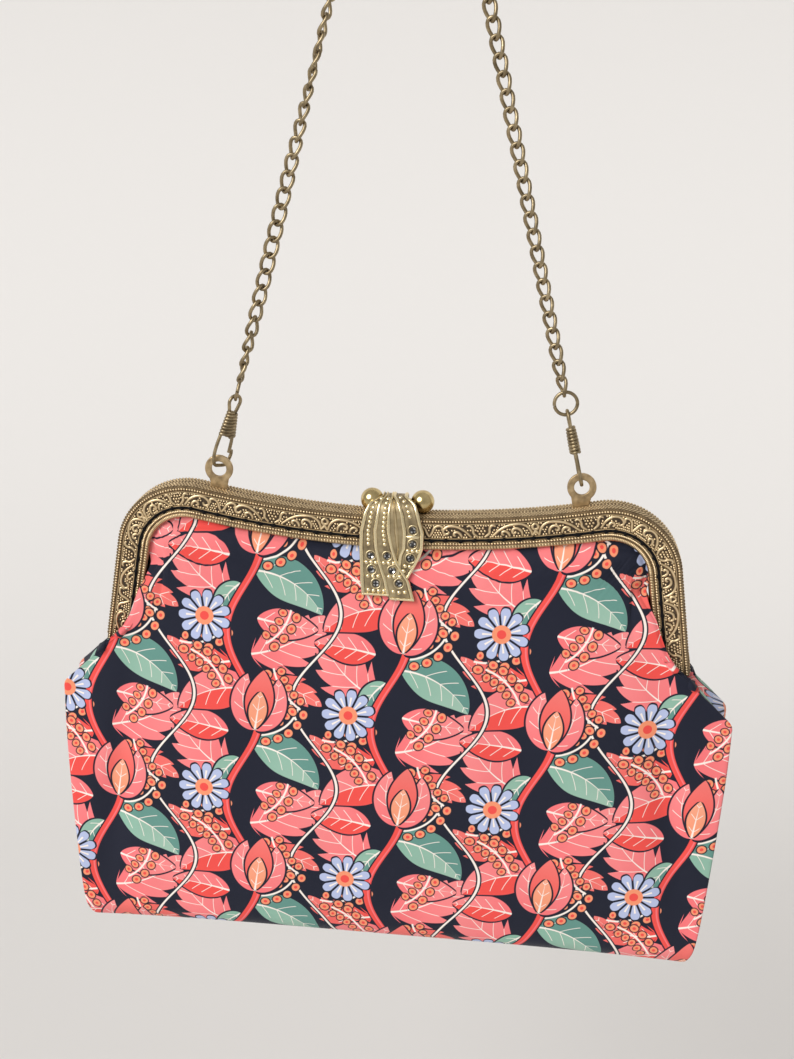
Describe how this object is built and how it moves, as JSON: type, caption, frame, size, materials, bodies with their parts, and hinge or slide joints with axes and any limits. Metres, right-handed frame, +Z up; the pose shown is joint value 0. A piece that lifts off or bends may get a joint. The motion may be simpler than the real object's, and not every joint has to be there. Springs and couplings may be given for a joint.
{
  "type": "frame purse with lift clasp and chain",
  "caption": "Printed cloth purse sewn into a hinged embossed bronze frame with a stone-set lift clasp, ball finials, snap hooks and a curb chain, hanging by the chain.",
  "frame": {"origin": "the point where the chain's bend hangs on a peg", "axes": "+Z up along the hanging purse, the front faces -Y, +X to the right seen from the front"},
  "size_m": [0.2384, 0.0396, 0.4132],
  "materials": {
    "antique_bronze": "antiqued, dark in the recesses, worn bright on the ridges",
    "dark_bronze": "antiqued, darker, semi-gloss",
    "dark_stone": "faceted, glossy",
    "printed_cloth": "matt printed cotton"
  },
  "bodies": {
    "purse": {"frame_front": "antique_bronze", "frame_rear": "antique_bronze", "ball_bar": "antique_bronze", "hinge_pin_left": "antique_bronze", "hinge_pin_right": "antique_bronze", "tab_left": "antique_bronze", "tab_right": "antique_bronze", "hook_left": "dark_bronze", "hook_right": "dark_bronze", "jump_ring_left": "dark_bronze", "jump_ring_right": "dark_bronze", "chain": "dark_bronze", "panel_front": "printed_cloth", "panel_back": "printed_cloth"},
    "clasp": {"clasp_plate": "antique_bronze", "stone_1": "dark_stone", "stone_2": "dark_stone", "stone_3": "dark_stone", "stone_4": "dark_stone", "stone_5": "dark_stone", "stone_6": "dark_stone", "stone_7": "dark_stone", "stone_8": "dark_stone", "stone_9": "dark_stone"}
  },
  "joints": [
    {"name": "clasp_lift", "type": "hinge", "parent": "purse", "child": "clasp", "pos_m": [0, 0.001, -0.23765], "axis": [-1, 0, 0], "range_deg": [0, 110]}
  ]
}
